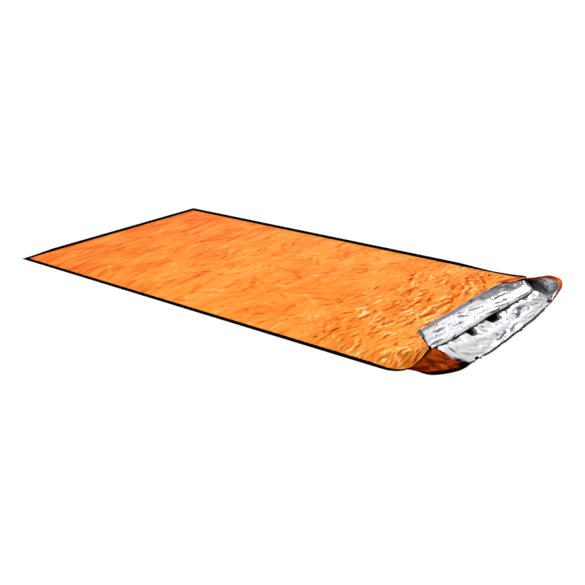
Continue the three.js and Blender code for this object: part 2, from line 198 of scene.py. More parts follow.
# The seam at each row: its outer edge, the way it runs, the way the tape lies out, and the way
# from the bottom film to the top one.
def seamFrames(seam, rows):
    along = rows * seam["length"]
    point = seamPoint(seam, along)
    tangent = unit(seamPoint(seam, along + 4) - seamPoint(seam, along - 4))
    upright = np.array([0, 0, 1.0]) - tangent * tangent[:, 2:3]
    upright = unit(upright)
    outward = -seam["side"] * np.cross(tangent, upright)
    lean = np.radians(readCurve(seam["along"], seam["lean"], along))[:, None]
    return {
        "wide": np.interp(point[:, 0], seam["tapeShareX"], seam["tapeShare"])[:, None],
        "point": point,
        "tangent": tangent,
        "out": outward * np.cos(lean) + upright * np.sin(lean),
        "over": -outward * np.sin(lean) + upright * np.cos(lean),
    }


# A depth in from the tape's outer edge, where the tape is gathered to a share of its width.
def gathered(depth, wide):
    return depth if depth < 2 else 2 + (depth - 2) * wide


def inSeam(frames, depth, offset):
    offset = np.asarray(offset, float).reshape(-1, 1) if np.ndim(offset) else offset
    return frames["point"] - frames["out"] * gathered(depth, frames["wide"]) + frames["over"] * offset


# Rows from the foot (0) to the end of the seams (1), closer together towards the mouth.
def spacedRows(places, spacings):
    along = [bag["edgeInset"]]
    while along[-1] < seamLength:
        along.append(along[-1] + np.interp(along[-1], places, spacings))
    along = np.array(along)
    first = along[0]
    along = first + (along - first) * (seamLength - first) / (along[-1] - first)
    return along / seamLength


# Soft folds and sharp creases: where each one is, which way it runs (0 along the bag, 90 across
# it), its half length and half width, its height and how sharp its top is.
def pressFolds(height, x, y, folds):
    for cx, cy, heading, length, width, rise, sharp in folds:
        turn = math.radians(heading)
        along = (x - cx) * math.cos(turn) + (y - cy) * math.sin(turn)
        beside = np.abs((y - cy) * math.cos(turn) - (x - cx) * math.sin(turn)) / width
        soft = np.exp(-beside ** 2)
        keen = np.exp(-1.6 * beside)
        height += rise * np.exp(-(along / length) ** 2) * (soft * (1 - sharp) + keen * sharp)


# Smooth random waves, one wide in each direction and about half a unit high.
def waves(a, b, seed):
    pick = np.random.default_rng(seed)
    order, turns = pick.permutation(256), pick.uniform(0, 2 * math.pi, 256)
    cellA, cellB = np.floor(a).astype(int), np.floor(b).astype(int)
    shareA, shareB = a - cellA, b - cellB
    total = 0
    for stepA in (0, 1):
        for stepB in (0, 1):
            turn = turns[order[(order[(cellA + stepA) % 256] + cellB + stepB) % 256]]
            slope = np.cos(turn) * (shareA - stepA) + np.sin(turn) * (shareB - stepB)
            weightA = smoothStep(1, 0, np.abs(shareA - stepA))
            weightB = smoothStep(1, 0, np.abs(shareB - stepB))
            total = total + slope * weightA * weightB
    return total


# One size of crumple over the cloth: waves drawn out along a heading, with sharp valleys if keen
# is positive and sharp ridges if it is negative. It fades in and out along the bag.
def crumple(du, dv, layer):
    turn = math.radians(layer["heading"])
    seed = layer["seed"]
    sway = layer.get("sway", 0.5)
    along = (du * math.cos(turn) + dv * math.sin(turn)) / layer["length"]
    beside = (dv * math.cos(turn) - du * math.sin(turn)) / layer["width"]
    along = along + sway * waves(du / 90 + 7.3, dv / 90, seed + 1)
    beside = beside + 2.2 * sway * waves(du / 120, dv / 120 + 3.1, seed + 2)
    wave = waves(along, beside, seed)
    keen = layer["keen"]
    field = (1 - abs(keen)) * wave + keen * 1.6 * (np.abs(wave) - 0.2)
    patch = smoothStep(-0.25, 0.25, waves(du / 150 + 1.7, dv / 130 + 5.9, seed + 3) + layer["cover"])
    start, full, last, gone = layer["zone"]
    fade = smoothStep(start, full, du) * (1 - smoothStep(last, gone, du))
    return layer["rise"] * field * patch * fade


# Painted shade: dark strokes down in creases, each following a route from point to point,
# a radius wide and so dark.
def paintShade(points, strokes):
    shade = np.zeros(points.shape[:2])
    for radius, dark, *route in strokes:
        for start, end in zip(route, route[1:]):
            start, end = np.array(start, float), np.array(end, float)
            share = np.clip((points - start) @ (end - start) / np.sum((end - start) ** 2), 0, 1)
            away = np.linalg.norm(points - start - share[:, :, None] * (end - start), axis=2)
            shade = np.maximum(shade, dark * smoothStep(radius, radius * 0.7, away))
    return shade


# Single creases drawn over the plan: centre, heading, length, radius and tone, which is below
# zero for a dark trough, painted shade, and above zero for a pale ridge, a painted highlight.
def drawCreases(x, y, creases):
    drawn = np.zeros(x.shape)
    for centreX, centreY, heading, length, radius, tone in creases:
        turn = math.radians(heading)
        along = (x - centreX) * math.cos(turn) + (y - centreY) * math.sin(turn)
        beside = (y - centreY) * math.cos(turn) - (x - centreX) * math.sin(turn)
        away = np.hypot(np.maximum(np.abs(along) - length / 2, 0), beside)
        mark = tone * smoothStep(radius, radius * 0.35, away)
        drawn = np.where(np.abs(mark) > np.abs(drawn), mark, drawn)
    return drawn


# Small creases strewn over a patch of the bag, turning from one side to the other by the fan.
def strewCreases(patch):
    pick = np.random.default_rng(patch["seed"])
    creases = []
    for _ in range(patch["count"]):
        x, y = pick.uniform(*patch["along"]), pick.uniform(*patch["across"])
        heading = 90 + patch["fan"] * y + pick.normal(0, patch["spread"])
        size = [pick.uniform(*patch[name]) for name in ("length", "radius", "tone")]
        creases.append((x, y, heading, *size))
    return creases


# A row of points read at places across the bag: how far along it lies, or how high with axis 2.
def readRow(row, across, axis=0):
    order = np.argsort(row[:, 1])
    return np.interp(across, row[order, 1], row[order, axis])


def surfaceNormals(points):
    alongRows = np.gradient(points, axis=0)
    alongColumns = np.gradient(points, axis=1)
    return unit(np.cross(alongRows, alongColumns))


# How sharply the cloth is creased: positive along ridges and negative in valleys.
def creasing(height, u, v):
    stepU, stepV = np.gradient(u, axis=0), np.gradient(v, axis=1)
    return -(np.gradient(np.gradient(height, axis=0) / stepU, axis=0) / stepU
             + np.gradient(np.gradient(height, axis=1) / stepV, axis=1) / stepV)


# The far side and the foot stand up a little along their tape, less towards the near corner.
def edgeLift(x, y):
    slope = math.tan(math.radians(bag["edgeLean"]))
    side = np.maximum(bag["finDepth"] - (bag["width"] / 2 - y), 0) * (1 - smoothStep(1420, 1600, x))
    foot = np.maximum(bag["finDepth"] - x, 0) * smoothStep(-490, -330, y)
    return slope * np.maximum(side, foot)


def deselectAll():
    bpy.ops.object.select_all(action="DESELECT")


# A cloth from a grid of points in millimetres, rows along the bag and columns across it. Its upper
# face as laid flat takes the first material and its lower face the second.
def makeCloth(name, points, u, v, thickness, finishes, marks):
    rowCount, columnCount = points.shape[:2]
    deselectAll()
    bpy.ops.mesh.primitive_grid_add(x_subdivisions=rowCount - 1, y_subdivisions=columnCount - 1, size=1)
    cloth = bpy.context.object
    cloth.name = name
    cloth.data.name = name
    mesh = cloth.data
    points = points.copy()
    points[:, :, 2] += edgeLift(points[:, :, 0], points[:, :, 1])
    order = points.transpose(1, 0, 2).reshape(-1, 3) * mm
    order[:, 0] += footX
    mesh.vertices.foreach_set("co", order.astype(np.float32).ravel())
    corners = np.empty(len(mesh.loops), np.int32)
    mesh.loops.foreach_get("vertex_index", corners)
    flat = np.stack([u.T.ravel()[corners], v.T.ravel()[corners]], axis=1) * mm
    mesh.uv_layers[0].name = "cloth"
    mesh.uv_layers[0].data.foreach_set("uv", flat.astype(np.float32).ravel())
    for markName, values in marks.items():
        layer = mesh.attributes.new(markName, "FLOAT", "POINT")
        layer.data.foreach_set("value", values.T.astype(np.float32).ravel())
    mesh.update()
    for finish in finishes:
        mesh.materials.append(finish)
    bpy.ops.object.shade_smooth()
    solidify = cloth.modifiers.new("thickness", "SOLIDIFY")
    solidify.thickness = thickness * mm
    solidify.offset = 0
    solidify.material_offset = len(finishes) - 1
    bpy.ops.object.modifier_apply(modifier=solidify.name)
    print(name, "has", sum(len(p.vertices) - 2 for p in mesh.polygons), "triangles")
    return cloth


def hexColor(code):
    channels = [int(code[i:i + 2], 16) / 255 for i in (0, 2, 4)]
    linear = [c / 12.92 if c <= 0.04045 else ((c + 0.055) / 1.055) ** 2.4 for c in channels]
    return (*linear, 1.0)


def newMaterial(name):
    material = bpy.data.materials.new(name)
    material.use_nodes = True
    tree = material.node_tree
    return material, tree, tree.nodes["Principled BSDF"]


# Adds a node, sets its properties and inputs, and links inputs that are given as sockets.
def addNode(tree, kind, inputs=None, **settings):
    node = tree.nodes.new(kind)
    for key, value in settings.items():
        setattr(node, key, value)
    for key, value in (inputs or {}).items():
        if isinstance(value, bpy.types.NodeSocket):
            tree.links.new(value, node.inputs[key])
        else:
            node.inputs[key].default_value = value
    return node


def setRamp(node, stops):
    ramp = node.color_ramp
    while len(ramp.elements) < len(stops):
        ramp.elements.new(0.5)
    for element, (place, color) in zip(ramp.elements, stops):
        element.position = place
        element.color = color


# Creases too fine for the mesh, in the cloth's own metres: flat facets about a size across, and
# finer ones within them, drawn out across the bag.
def fineCreases(tree, size):
    uv = addNode(tree, "ShaderNodeUVMap", uv_map="cloth").outputs[0]
    sway = addNode(tree, "ShaderNodeTexNoise", {"Vector": uv, "Scale": 14.0, "Detail": 3.0})
    shift = addNode(tree, "ShaderNodeVectorMath", {0: sway.outputs["Color"], 1: (0.05, 0.05, 0)},
                    operation="MULTIPLY")
    place = addNode(tree, "ShaderNodeVectorMath", {0: uv, 1: shift.outputs[0]}, operation="ADD")
    total = None
    for turn, scale, weight in [(-20, 1.0, 1.0), (35, 1.9, 0.55), (-70, 4.1, 0.3)]:
        drawn = addNode(tree, "ShaderNodeMapping", {"Vector": place.outputs[0],
                                                    "Rotation": (0, 0, math.radians(turn)),
                                                    "Scale": (scale / size, scale / size / 2.2, 1)})
        facets = addNode(tree, "ShaderNodeTexVoronoi", {"Vector": drawn.outputs[0], "Scale": 1.0},
                         feature="DISTANCE_TO_EDGE", voronoi_dimensions="2D")
        layer = addNode(tree, "ShaderNodeMath", {0: facets.outputs["Distance"], 1: weight / scale},
                        operation="MULTIPLY")
        if total:
            layer = addNode(tree, "ShaderNodeMath", {0: total, 1: layer.outputs[0]}, operation="ADD")
        total = layer.outputs[0]
    return total


# A number carried by the cloth, from one range to another.
def readMark(tree, name, low, high, lowTo, highTo):
    mark = addNode(tree, "ShaderNodeAttribute", attribute_name=name)
    return addNode(tree, "ShaderNodeMapRange",
                   {"Value": mark.outputs["Fac"], "From Min": low, "From Max": high,
                    "To Min": lowTo, "To Max": highTo}).outputs[0]


def combine(tree, operation, first, second, third=0.0, clamp=False):
    return addNode(tree, "ShaderNodeMath", {0: first, 1: second, 2: third}, operation=operation,
                   use_clamp=clamp).outputs[0]


# Short sharp creases scattered over the cloth, one to a cell. A cell is so long and wide in metres,
# the crease fills a share of it, they run along a heading give or take a spread in radians, and
# cover is the share of cells with one, between four places along the bag.
# Each crease is also painted paler or darker, a painted glint or painted shade: a random amount either side
# of its bias towards dark.
def scattered(tree, spec):
    uv = addNode(tree, "ShaderNodeUVMap", uv_map="cloth").outputs[0]
    place = addNode(tree, "ShaderNodeMapping",
                    {"Vector": uv, "Rotation": (0, 0, math.radians(spec["heading"])),
                     "Scale": (spec["long"], spec["wide"], 1)}, vector_type="TEXTURE").outputs[0]
    cells = addNode(tree, "ShaderNodeTexVoronoi", {"Vector": place, "Scale": 1.0}, voronoi_dimensions="2D")
    local = addNode(tree, "ShaderNodeVectorMath", {0: place, 1: cells.outputs["Position"]},
                    operation="SUBTRACT").outputs[0]
    chance = addNode(tree, "ShaderNodeSeparateColor", {0: cells.outputs["Color"]})
    angle = combine(tree, "MULTIPLY_ADD", chance.outputs[1], spec["spread"], -spec["spread"] / 2)
    turned = addNode(tree, "ShaderNodeVectorRotate", {"Vector": local, "Angle": angle},
                     rotation_type="Z_AXIS").outputs[0]
    parts = addNode(tree, "ShaderNodeSeparateXYZ", {0: turned})
    along, beside = parts.outputs["X"], parts.outputs["Y"]
    squared = combine(tree, "MULTIPLY", along, along)
    beside = combine(tree, "ADD", beside, combine(tree, "MULTIPLY", squared, spec["curve"]))
    fillLong, fillWide = spec["fill"]
    long = combine(tree, "MULTIPLY_ADD", squared, -1 / fillLong ** 2, 1.0, True)
    wide = combine(tree, "MULTIPLY_ADD", combine(tree, "ABSOLUTE", beside, 0.0), -1 / fillWide, 1.0, True)
    down = addNode(tree, "ShaderNodeSeparateXYZ", {0: uv}).outputs["X"]
    start, full, last, gone = spec["zone"]
    comes = addNode(tree, "ShaderNodeMapRange",
                    {"Value": down, "From Min": start, "From Max": full}).outputs[0]
    goes = addNode(tree, "ShaderNodeMapRange", {"Value": down, "From Min": gone, "From Max": last,
                                                "To Max": spec["cover"]}).outputs[0]
    there = combine(tree, "LESS_THAN", chance.outputs[0], combine(tree, "MULTIPLY", comes, goes))
    shape = combine(tree, "MULTIPLY", combine(tree, "MULTIPLY", long, wide), there)
    lean = combine(tree, "MULTIPLY_ADD", chance.outputs[2], 2 * spec["glintAndShade"], spec["toDark"] - spec["glintAndShade"])
    return combine(tree, "MULTIPLY", shape, spec["rise"]), combine(tree, "MULTIPLY", shape, lean)


# Paler and darker streaks of colour drawn out across the bag, a long and b wide in metres: tone
# that differs at random, and painted light and shade of fine wrinkles.
def streaks(tree, turn, a, b, spread):
    uv = addNode(tree, "ShaderNodeUVMap", uv_map="cloth").outputs[0]
    drawn = addNode(tree, "ShaderNodeMapping", {"Vector": uv, "Rotation": (0, 0, math.radians(turn)),
                                                "Scale": (1 / b, 1 / a, 1)})
    noise = addNode(tree, "ShaderNodeTexNoise", {"Vector": drawn.outputs[0], "Scale": 1.0, "Detail": 3.0,
                                                 "Distortion": 0.6})
    return addNode(tree, "ShaderNodeMapRange",
                   {"Value": noise.outputs["Fac"], "From Min": 0.3, "From Max": 0.7,
                    "To Min": -spread, "To Max": spread}).outputs[0]


# Painted shade: black where the shade mark is one, down in a crease, or along a hem's edge.
def shadeBy(tree, color, shader, start):
    dark = addNode(tree, "ShaderNodeMixRGB", {"Fac": readMark(tree, "shade", start, 1, 0, 1),
                                              "Color1": color, "Color2": hexColor("050404")})
    tree.links.new(dark.outputs["Color"], shader.inputs["Base Color"])


orangeCreases = [
    {"long": 0.3, "wide": 0.05, "fill": (0.6, 0.12), "heading": 99, "spread": 0.35, "curve": 0.3,
     "cover": 0.8, "rise": 1.8, "glintAndShade": 0.2, "toDark": -0.08, "zone": (-0.1, 0, 0.6, 1.1)},
    {"long": 0.12, "wide": 0.03, "fill": (0.5, 0.16), "heading": 112, "spread": 0.9, "curve": 0.3,
     "cover": 0.5, "rise": 1.5, "glintAndShade": 0.2, "toDark": -0.1, "zone": (-0.1, 0, 0.5, 0.9)},
    {"long": 0.08, "wide": 0.05, "fill": (0.4, 0.16), "heading": 70, "spread": 2.4, "curve": 0.5,
     "cover": 0.45, "rise": 1.8, "glintAndShade": 0.4, "toDark": 0.0, "zone": (0.1, 1.1, 2.5, 3)},
    {"long": 0.04, "wide": 0.026, "fill": (0.42, 0.18), "heading": 80, "spread": 2.4, "curve": 0.4,
     "cover": 0.5, "rise": 1.2, "glintAndShade": 0.5, "toDark": 0.05, "zone": (0.2, 1.2, 2.5, 3)},
    {"long": 0.07, "wide": 0.042, "fill": (0.42, 0.2), "heading": 86, "spread": 1.8, "curve": 0.6,
     "cover": 0.75, "rise": 4.0, "glintAndShade": 0.4, "toDark": -0.1, "zone": (1.25, 1.6, 2.5, 3)},
]
silverCreases = [
    {"long": 0.14, "wide": 0.045, "fill": (0.5, 0.14), "heading": 98, "spread": 0.9, "curve": 0.3,
     "cover": 0.9, "rise": 1.9, "glintAndShade": 0.1, "toDark": -0.65, "zone": (-1, 0, 5, 6)},
    {"long": 0.05, "wide": 0.03, "fill": (0.42, 0.16), "heading": 70, "spread": 2.6, "curve": 0.4,
     "cover": 0.7, "rise": 1.0, "glintAndShade": 0.2, "toDark": -0.4, "zone": (-1, 0, 5, 6)},
]


# Orange polyethylene film, blown thin: soft, a little waxy, paler where it is stretched over a ridge,
# partly a painted highlight, and deeper in a fold, which is painted shade.
def orangeFilm(name, tones, fine):
    material, tree, shader = newMaterial(name)
    across = streaks(tree, 8, 0.16, 0.03, 0.08)
    toneAndPaintedLight = combine(tree, "ADD", readMark(tree, "creasing", -0.09, 0.09, 0, 1), across)
    toneAndPaintedLight = combine(tree, "ADD", toneAndPaintedLight, streaks(tree, -30, 0.22, 0.12, 0.13))
    relief = combine(tree, "MULTIPLY", fineCreases(tree, 0.024),
                     readMark(tree, "crumple", 0, 1, 0.16 * fine, fine))
    for spec in orangeCreases:
        rise, glintAndShade = scattered(tree, spec)
        relief = combine(tree, "ADD", relief, rise)
        toneAndPaintedLight = combine(tree, "ADD", toneAndPaintedLight, glintAndShade)
    # Painted shade: the shade mark deepens the tone, and from a half on turns it black.
    toneAndPaintedLight = combine(tree, "ADD", toneAndPaintedLight, readMark(tree, "shade", 0, 1, 0, -1.2))
    color = addNode(tree, "ShaderNodeValToRGB", {"Fac": toneAndPaintedLight})
    setRamp(color, [(place, hexColor(tone)) for place, tone in zip((0.05, 0.3, 0.5, 0.7, 0.95), tones)])
    shadeBy(tree, color.outputs["Color"], shader, 0.5)
    bump = addNode(tree, "ShaderNodeBump", {"Height": relief, "Distance": mm, "Strength": 1.0})
    tree.links.new(bump.outputs["Normal"], shader.inputs["Normal"])
    shader.inputs["Roughness"].default_value = 0.32
    shader.inputs["Specular IOR Level"].default_value = 0.01
    return material


# Film with aluminium deposited on it, too thin to hide the film's own creases, so it mirrors each
# facet a little differently.
def silverFilm():
    material, tree, shader = newMaterial("aluminised film")
    uv = addNode(tree, "ShaderNodeUVMap", uv_map="cloth").outputs[0]
    relief = combine(tree, "MULTIPLY", fineCreases(tree, 0.04), 2.4)
    # Painted shade and highlight: darker grey down in valleys and dark creases, lighter on ridges, and
    # black by the shade mark.
    toneAndPaintedLight = combine(tree, "ADD", readMark(tree, "creasing", -0.12, 0.12, 0, 1), 0.05)
    for spec in silverCreases:
        rise, glintAndShade = scattered(tree, spec)
        relief = combine(tree, "ADD", relief, rise)
        toneAndPaintedLight = combine(tree, "ADD", toneAndPaintedLight, glintAndShade)
    bump = addNode(tree, "ShaderNodeBump", {"Height": relief, "Distance": mm, "Strength": 1.0})
    tree.links.new(bump.outputs["Normal"], shader.inputs["Normal"])
    rubbed = addNode(tree, "ShaderNodeTexNoise", {"Vector": uv, "Scale": 40.0, "Detail": 4.0})
    rough = addNode(tree, "ShaderNodeMapRange", {"Value": rubbed.outputs["Fac"], "From Min": 0.3,
                                                 "From Max": 0.7, "To Min": 0.3, "To Max": 0.42})
    tree.links.new(rough.outputs[0], shader.inputs["Roughness"])
    color = addNode(tree, "ShaderNodeValToRGB", {"Fac": toneAndPaintedLight})
    setRamp(color, [(0.1, hexColor("606268")), (0.32, hexColor("c8c9cd")), (0.5, hexColor("dcdbdf")),
                    (1.0, hexColor("f0eff2"))])
    shadeBy(tree, color.outputs["Color"], shader, 0)
    shader.inputs["Metallic"].default_value = 0.82
    return material


# Black polyester tape, woven with a fine rib. The ribs are drawn 2 mm apart, coarser than real. Its
# turned-back end is painted blue grey, a painted sheen.
def blackTape():
    material, tree, shader = newMaterial("black polyester tape")
    uv = addNode(tree, "ShaderNodeUVMap", uv_map="cloth").outputs[0]
    ribs = addNode(tree, "ShaderNodeTexWave", {"Vector": uv, "Scale": 160.0, "Distortion": 0.4},
                   bands_direction="X")
    bump = addNode(tree, "ShaderNodeBump", {"Height": ribs.outputs["Fac"], "Strength": 0.4,
                                            "Distance": 0.0003})
    color = addNode(tree, "ShaderNodeValToRGB", {"Fac": ribs.outputs["Fac"]})
    setRamp(color, [(0.2, hexColor("020203")), (0.9, hexColor("08080a"))])
    toneAndPaintedLight = addNode(tree, "ShaderNodeMixRGB", {"Fac": readMark(tree, "sheen", 0, 1, 0, 1),
                                              "Color1": color.outputs["Color"],
                                              "Color2": hexColor("56686e")})
    tree.links.new(toneAndPaintedLight.outputs["Color"], shader.inputs["Base Color"])
    shader.inputs["Roughness"].default_value = 0.85
    shader.inputs["Specular IOR Level"].default_value = 0.0
    tree.links.new(bump.outputs["Normal"], shader.inputs["Normal"])
    return material


orange = orangeFilm("orange polyethylene film", ("b43c00", "d46002", "d67e26", "de9040", "fab878"), 4.5)
# The bottom film's outer face: the same orange film in deeper tones, painted shade.
shadedUnderOrange = orangeFilm("orange polyethylene film, underside, painted shade",
                         ("781e02", "a23606", "bc460a", "cc5010", "f0701c"), 4.0)
silver = silverFilm()
tapeBlack = blackTape()
print("finishes ready")

topFilm = {
    "rowPlaces": [0, 900, 1300, 1500, 1790],
    "rowSpacing": [8.6, 8.2, 5.4, 4.1, 3.7],
    "middleColumns": 137,
    "folds": [
        # x, y, heading, half length, half width, height, sharpness
        (210, -120, 90, 300, 34, 2.2, 0.3),
        (330, 140, 92, 260, 30, -1.6, 0.3),
        (520, -60, 70, 260, 40, 2.4, 0.3),
        (760, 120, 37, 280, 45, -2.0, 0.2),
        (900, -200, 37, 260, 45, 2.6, 0.2),
        (1120, 60, 40, 260, 42, 2.8, 0.2),
        (1290, -240, 60, 180, 36, -2.6, 0.3),
        # The puffs of film beside the near corner.
        (1700, -420, 30, 40, 20, 3, 0.1),
        (1720, -460, 30, 30, 14, 2.5, 0.1),
        (1650, -440, 20, 30, 14, 4, 0.2),
    ],
    # Where the puffs are, how far they spread, and how much of the crumple they smooth away.
    "nearBulges": (1712, -424, 62, 52),
    "bulgeCalm": 0.92,
    "lowest": 1.3,
    "creaseRise": 2.2,
    "tapeFade": (19, 46),
    "footFade": (20, 60),
    # Small puckers beside the tape: how far in from its edge, how far they spread, and their shape.
    "puckerIn": 30,
    "puckerReach": 22,
    "pucker": {"seed": 77, "heading": 90, "length": 60, "width": 16, "rise": 2, "keen": -0.5,
               "zone": (300, 900, 1620, 1680), "cover": 0.2},
    # The roll is kept smooth round its middle, this far past the seam, and so are the hem's rows.
    "rollMiddle": 9,
    "rollReach": 14,
    "rollCalm": 0.85,
    "hemRows": 4,
    "hemShare": 0.5,
    # How dark the painted shade is on the hem and in the drawn troughs, how dark the foot is, and how
    # pale the painted highlight on the drawn ridges is.
    "hemShade": 0.66,
    "troughShade": 0.8,
    "footShade": 0.1,
    "ridgePale": 0.09,
    # The gathers behind the cuff: how far behind it, how many, half length and depth. The ridge
    # stands so far behind its trough and is a share as high.
    "pleatSeed": 4,
    "pleatSpan": (-250, 370),
    "ridgeBehind": 15,
    "ridgeShare": 0.7,
    "pleatRows": [(50, 5, 60, 7), (105, 6, 55, 6), (165, 6, 45, 5), (235, 5, 36, 3.5)],
    "creases": [
        # How far behind the cuff, how far across, heading, length, radius and tone.
        (40, -110, 90, 120, 7, -0.55),
        (45, 10, 90, 90, 6, -0.4),
        (110, -140, 75, 70, 8, -0.45),
        (150, -50, 90, 50, 6, -0.45),
        (90, 30, 110, 110, 7, -0.4),
        (90, 170, 110, 130, 8, -0.5),
        (70, 260, 100, 80, 8, -0.45),
        (200, 350, 150, 90, 12, -0.1),
        (230, -110, 75, 50, 7, 0.8),
        (140, -110, 75, 50, 9, 0.6),
        (360, -80, 90, 50, 7, 0.6),
        (170, 210, 75, 40, 8, 0.7),
    ],
    "patches": [
        # Round the mouth dark then pale, over the foot and middle dark then pale, and pale on the puffs:
        # the dark ones painted shade, the pale ones painted highlight.
        {"seed": 11, "count": 34, "along": (1440, 1660), "across": (-300, 340), "fan": 0.07,
         "spread": 20, "length": (22, 80), "radius": (5, 9), "tone": (-0.36, -0.14)},
        {"seed": 12, "count": 14, "along": (1380, 1640), "across": (-320, 300), "fan": 0.05,
         "spread": 16, "length": (25, 55), "radius": (7, 10), "tone": (0.35, 0.7)},
        {"seed": 13, "count": 60, "along": (60, 1250), "across": (-450, 430), "fan": 0.0,
         "spread": 30, "length": (30, 110), "radius": (8, 14), "tone": (-0.22, -0.1)},
        {"seed": 14, "count": 18, "along": (100, 1250), "across": (-450, 420), "fan": 0.0,
         "spread": 35, "length": (25, 110), "radius": (8, 12), "tone": (0.15, 0.3)},
        {"seed": 15, "count": 9, "along": (1660, 1740), "across": (-480, -400), "fan": 0.2,
         "spread": 25, "length": (12, 30), "radius": (7, 11), "tone": (0.25, 0.6)},
    ],
    "strokes": [
        # Painted shade: the shaded strip of orange past the far end of the cuff, then the cuff's far half
        # painted darker.
        (12, 0.6, (1684, 345, 19), (1703, 394, 21), (1722, 440, 18)),
        (26, 0.6, (1700, 120, 34), (1722, 257, 35)),
        (32, 0.7, (1722, 257, 35), (1764, 342, 38)),
    ],
    "layers": [
        {"seed": 3, "heading": 95, "length": 210, "width": 46, "rise": 6, "keen": 0.2,
         "zone": (30, 130, 700, 1000), "cover": 0.2},
        {"seed": 9, "heading": 99, "length": 120, "width": 24, "rise": 2.6, "keen": 0.6,
         "zone": (30, 130, 600, 1000), "cover": 0.0},
        {"seed": 15, "heading": 30, "length": 180, "width": 70, "rise": 6, "keen": 0.2,
         "zone": (300, 600, 1300, 1500), "cover": 0.1},
        {"seed": 21, "heading": 20, "length": 90, "width": 32, "rise": 3.0, "keen": -0.4,
         "zone": (450, 700, 1350, 1600), "cover": -0.1},
        {"seed": 27, "heading": 93, "length": 90, "width": 40, "rise": 8, "keen": 0.6,
         "zone": (1330, 1560, 1760, 1800), "cover": -0.05, "sway": 1.0},
        {"seed": 33, "heading": 70, "length": 46, "width": 22, "rise": 4.6, "keen": -0.6,
         "zone": (1200, 1500, 1770, 1800), "cover": -0.1, "sway": 1.0},
        {"seed": 39, "heading": 110, "length": 34, "width": 17, "rise": 3.4, "keen": 0.8,
         "zone": (1150, 1450, 1780, 1800), "cover": -0.1, "sway": 1.0},
        {"seed": 45, "heading": 96, "length": 110, "width": 28, "rise": 5.5, "keen": 0.8,
         "zone": (1796, 1812, 1990, 2000), "cover": 0.4},
        {"seed": 51, "heading": 70, "length": 50, "width": 17, "rise": 2.6, "keen": -0.8,
         "zone": (1796, 1812, 1990, 2000), "cover": 0.0},
    ],
}

# Columns as depths in from each seam's outer edge while in the tape, then shares across.
tapeDepths = np.array([0.9, 5, 9, 13, 17.3, 20.5])


# The crown's height at each place across, one column of knots for each.
def crownAcross(across, knots):
    places = np.array([0, *crown["across"], 1])
    return np.array([readCurve(places, knots[:, k], across[k]) for k in range(len(across))])


# The gathers behind the cuff: rows of troughs across the bag, each with a ridge behind it.
def mouthPleats(mouth):
    pick = np.random.default_rng(topFilm["pleatSeed"])
    start, end = topFilm["pleatSpan"]
    pleats = []
    for behind, count, length, depth in topFilm["pleatRows"]:
        for step in range(count):
            y = start + (end - start) * (step + pick.uniform(0.2, 0.8)) / count
            x = readRow(mouth, y) - behind + pick.uniform(-10, 10)
            heading = 92 + 0.07 * y + pick.normal(0, 6)
            pleats.append((x, y, heading, length, 10, -depth, 0.7))
            ridge = topFilm["ridgeShare"] * depth
            pleats.append((x - topFilm["ridgeBehind"], y, heading, length, 13, ridge, 0.6))
    return pleats


def topPoints():
    rows = spacedRows(topFilm["rowPlaces"], topFilm["rowSpacing"])
    near = seamFrames(nearSeam, rows)
    far = seamFrames(farSeam, rows)
    nearTape = np.stack([inSeam(near, d, filmOffset) for d in tapeDepths], axis=1)
    farTape = np.stack([inSeam(far, d, filmOffset) for d in tapeDepths[::-1]], axis=1)
    across = np.linspace(0, 1, topFilm["middleColumns"])
    nearBase, farBase = nearTape[:, -1:], farTape[:, :1]
    middle = nearBase + (farBase - nearBase) * across[None, :, None]
    bowShare = smoothStep(bag["creaseBowStart"], 1, rows) ** 2
    clear = smoothStep(0, 0.07, np.minimum(across, 1 - across))
    bow = readCurve(cuff["across"], cuff["bow"], across)
    radius = readCurve(cuff["across"], cuff["radius"], across)
    middle[:, :, 0] += bowShare[:, None] * (clear * (bow - radius))[None, :]
    names = ["near", "nearMid", "middle", "farMid", "far"]
    for row in range(len(rows)):
        heights = [readCurve(crown["along"], crown[name], middle[row, :, 0]) for name in names]
        knots = np.stack([np.broadcast_to(nearBase[row, 0, 2], across.shape), *heights,
                          np.broadcast_to(farBase[row, 0, 2], across.shape)])
        middle[row, :, 2] = crownAcross(across, knots)
    foot = smoothStep(bag["finDepth"], 110, middle[:, :, 0])
    height = np.zeros(middle.shape[:2])
    folds = topFilm["folds"] + mouthPleats(middle[-1])
    pressFolds(height, middle[:, :, 0], middle[:, :, 1], folds)
    height *= foot * clear[None, :] * (1 - smoothStep(1730, 1765, middle[:, :, 0]))
    points = np.concatenate([nearTape, middle[:, 1:-1], farTape], axis=1)
    taped = len(tapeDepths)
    folded = np.zeros(points.shape[:2])
    folded[:, taped:-taped] = height[:, 1:-1]
    acrossAll = np.concatenate([np.zeros(taped), across[1:-1], np.ones(taped)])
    flatWidth = bag["width"] - 2 * tapeDepths[-1]
    v = np.concatenate([-bag["width"] / 2 + tapeDepths, (across[1:-1] - 0.5) * flatWidth,
                        bag["width"] / 2 - tapeDepths[::-1]])
    return rows, points, folded, acrossAll, v


# Which way the film runs into its roll, and which way it rolls over, at each place across.
def rollAxes(across):
    end = np.array([1.0])
    nearEnd, farEnd = seamFrames(nearSeam, end), seamFrames(farSeam, end)
    nearShare = 1 - smoothStep(0, bag["rollEndShare"], across)[:, None]
    farShare = smoothStep(1 - bag["rollEndShare"], 1, across)[:, None]
    middleShare = 1 - nearShare - farShare
    run = middleShare * [1, 0, 0] + nearShare * nearEnd["tangent"] + farShare * farEnd["tangent"]
    turn = middleShare * [0, 0, 1] + nearShare * nearEnd["over"] + farShare * farEnd["over"]
    return unit(run), unit(turn)


